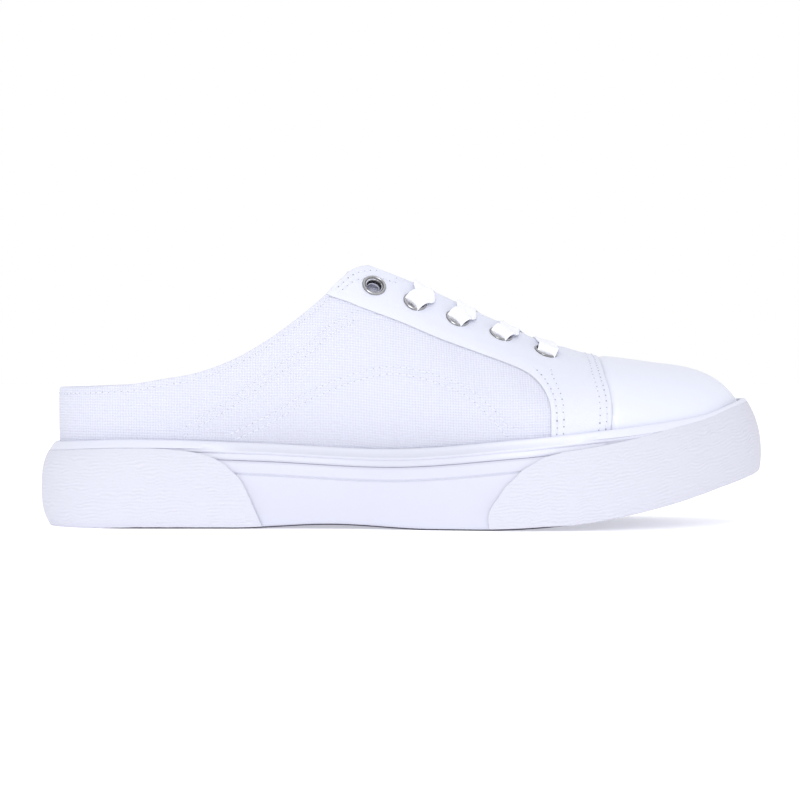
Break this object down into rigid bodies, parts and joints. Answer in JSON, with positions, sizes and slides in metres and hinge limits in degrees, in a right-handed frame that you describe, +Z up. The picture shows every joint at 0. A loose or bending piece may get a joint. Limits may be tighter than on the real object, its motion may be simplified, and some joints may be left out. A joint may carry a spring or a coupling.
{
  "type": "sneaker mule",
  "caption": "Backless canvas sneaker, laced over the instep, with a low heel rim, rubber toe cap and thick stepped rubber sole with textured toe bumper and heel patch.",
  "frame": {"origin": "on the floor, midway along and across the sole", "axes": "+X from heel to toe, +Y to the inner (big toe) side, +Z up from the floor"},
  "size_m": [0.276, 0.1007, 0.0983],
  "materials": {
    "canvas": "plain-weave cotton canvas, white",
    "twill": "smooth close-woven twill, white",
    "cap_rubber": "smooth satin white rubber",
    "sole_rubber": "smooth satin white rubber",
    "crepe_rubber": "white rubber with a fine wavy, wrinkled relief",
    "tread_rubber": "matt white rubber",
    "insole_cloth": "plain white sock lining",
    "eyelet_metal": "nickel-plated, softly polished",
    "lace_cotton": "flat woven white lace"
  },
  "bodies": {
    "root": {"outsole": "tread_rubber", "midsole": "sole_rubber", "foxing_strip": "sole_rubber", "heel_patch": "crepe_rubber", "toe_bumper": "crepe_rubber", "insole": "insole_cloth", "upper": "canvas", "vamp_eyestay": "twill", "toe_cap": "cap_rubber", "tongue": "canvas", "eyelet_outer_1": "eyelet_metal", "eyelet_outer_2": "eyelet_metal", "eyelet_outer_3": "eyelet_metal", "eyelet_outer_4": "eyelet_metal", "eyelet_outer_5": "eyelet_metal", "eyelet_inner_1": "eyelet_metal", "eyelet_inner_2": "eyelet_metal", "eyelet_inner_3": "eyelet_metal", "eyelet_inner_4": "eyelet_metal", "eyelet_inner_5": "eyelet_metal", "lace_cross_1": "lace_cotton", "lace_cross_2": "lace_cotton", "lace_cross_3": "lace_cotton", "lace_bar": "lace_cotton"}
  },
  "joints": []
}
